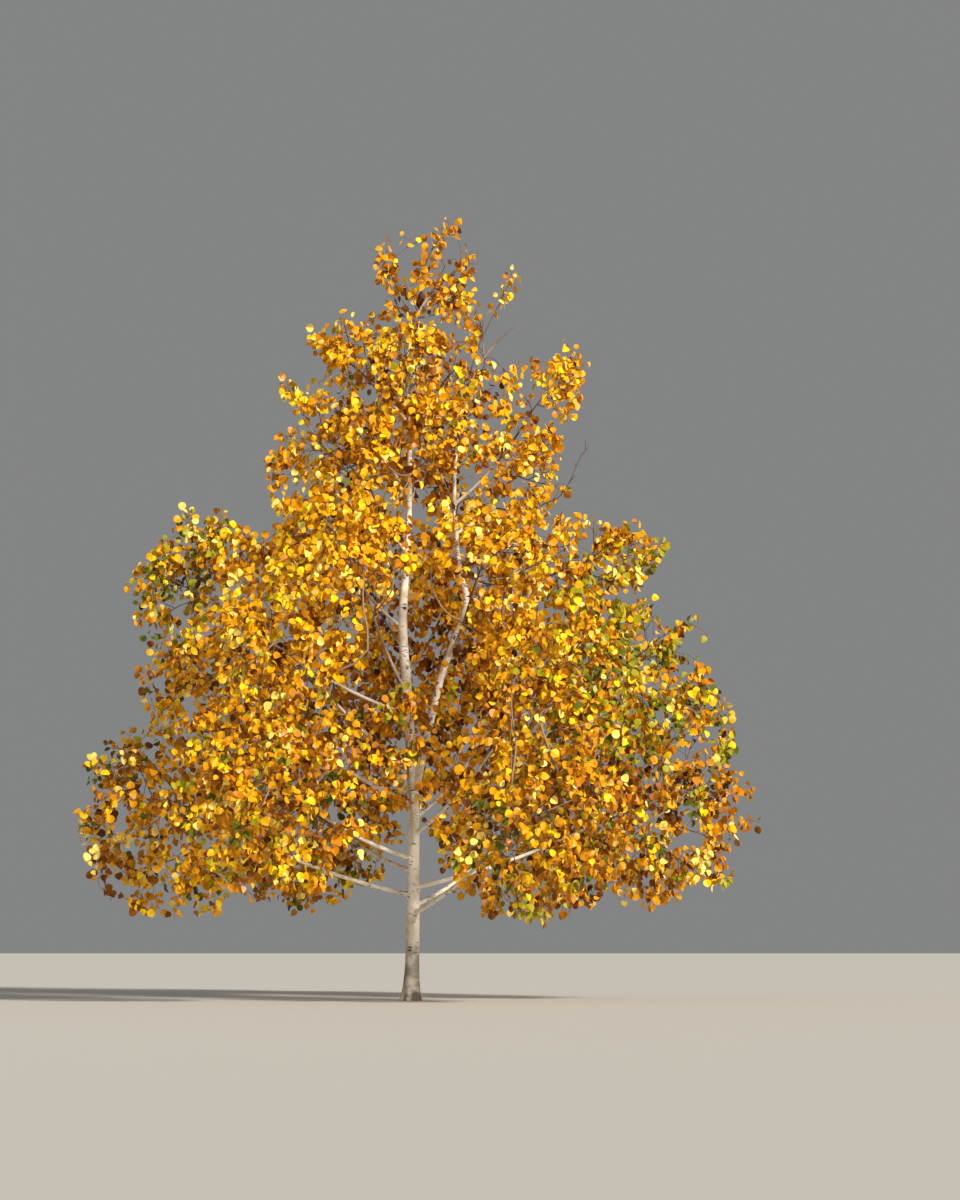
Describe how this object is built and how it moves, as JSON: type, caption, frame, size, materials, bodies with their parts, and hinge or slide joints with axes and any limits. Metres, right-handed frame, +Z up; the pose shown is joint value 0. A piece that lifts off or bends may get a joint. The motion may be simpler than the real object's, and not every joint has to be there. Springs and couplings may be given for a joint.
{
  "type": "poplar tree",
  "caption": "Young whole poplar in autumn leaf: a pale leader and a leaning second stem, low boughs and round golden foliage, cut flat at ground level.",
  "frame": {"origin": "middle of the trunk's flat cut at ground level", "axes": "+Z up; +X to the right of the picture; +Y away from its viewer"},
  "size_m": [3.3212, 2.897, 3.9147],
  "materials": {
    "bark": "smooth cream bark with dark scars",
    "bough_bark": "thin grey-brown young bark",
    "gold_leaf": "thin soft leaves, slightly glossy",
    "green_leaf": "thin soft leaves, slightly glossy"
  },
  "bodies": {
    "root": {"bough_lower_back_left": "bough_bark", "bough_lower_back_right": "bough_bark", "bough_lower_front_left": "bough_bark", "bough_lower_front_right": "bough_bark", "bough_lower_left": "bough_bark", "bough_lower_right": "bough_bark", "bough_middle_back_left": "bough_bark", "bough_middle_back_right": "bough_bark", "bough_middle_front_left": "bough_bark", "bough_middle_front_right": "bough_bark", "bough_middle_left": "bough_bark", "bough_middle_right": "bough_bark", "bough_skirt_back_left": "bough_bark", "bough_skirt_back_right": "bough_bark", "bough_skirt_front_left": "bough_bark", "bough_skirt_front_right": "bough_bark", "bough_skirt_left": "bough_bark", "bough_skirt_right": "bough_bark", "bough_upper_left": "bough_bark", "bough_upper_right": "bough_bark", "bough_upper_right_tuft": "bough_bark", "bough_wing_left": "bough_bark", "foliage_core_lower_back": "gold_leaf", "foliage_core_lower_front": "gold_leaf", "foliage_core_upper_back": "gold_leaf", "foliage_core_upper_front_left": "gold_leaf", "foliage_core_upper_front_right": "gold_leaf", "foliage_high_back": "gold_leaf", "foliage_high_front": "gold_leaf", "foliage_high_left": "gold_leaf", "foliage_high_right": "gold_leaf", "foliage_lower_back_left": "gold_leaf", "foliage_lower_back_right": "gold_leaf", "foliage_lower_front_left": "gold_leaf", "foliage_lower_front_right": "gold_leaf", "foliage_lower_left": "gold_leaf", "foliage_lower_right": "green_leaf", "foliage_middle_back_left": "gold_leaf", "foliage_middle_back_right": "gold_leaf", "foliage_middle_front_left": "gold_leaf", "foliage_middle_front_right": "gold_leaf", "foliage_middle_left": "gold_leaf", "foliage_middle_right": "gold_leaf", "foliage_skirt_back_left": "gold_leaf", "foliage_skirt_back_right": "gold_leaf", "foliage_skirt_front_left": "gold_leaf", "foliage_skirt_front_right": "gold_leaf", "foliage_skirt_left": "gold_leaf", "foliage_skirt_right": "green_leaf", "foliage_top_of_second_stem": "gold_leaf", "foliage_top_of_trunk": "gold_leaf", "foliage_upper_left": "gold_leaf", "foliage_upper_right": "gold_leaf", "foliage_upper_right_tuft": "gold_leaf", "foliage_wing_left": "green_leaf", "second_stem": "bark", "trunk": "bark"}
  },
  "joints": []
}
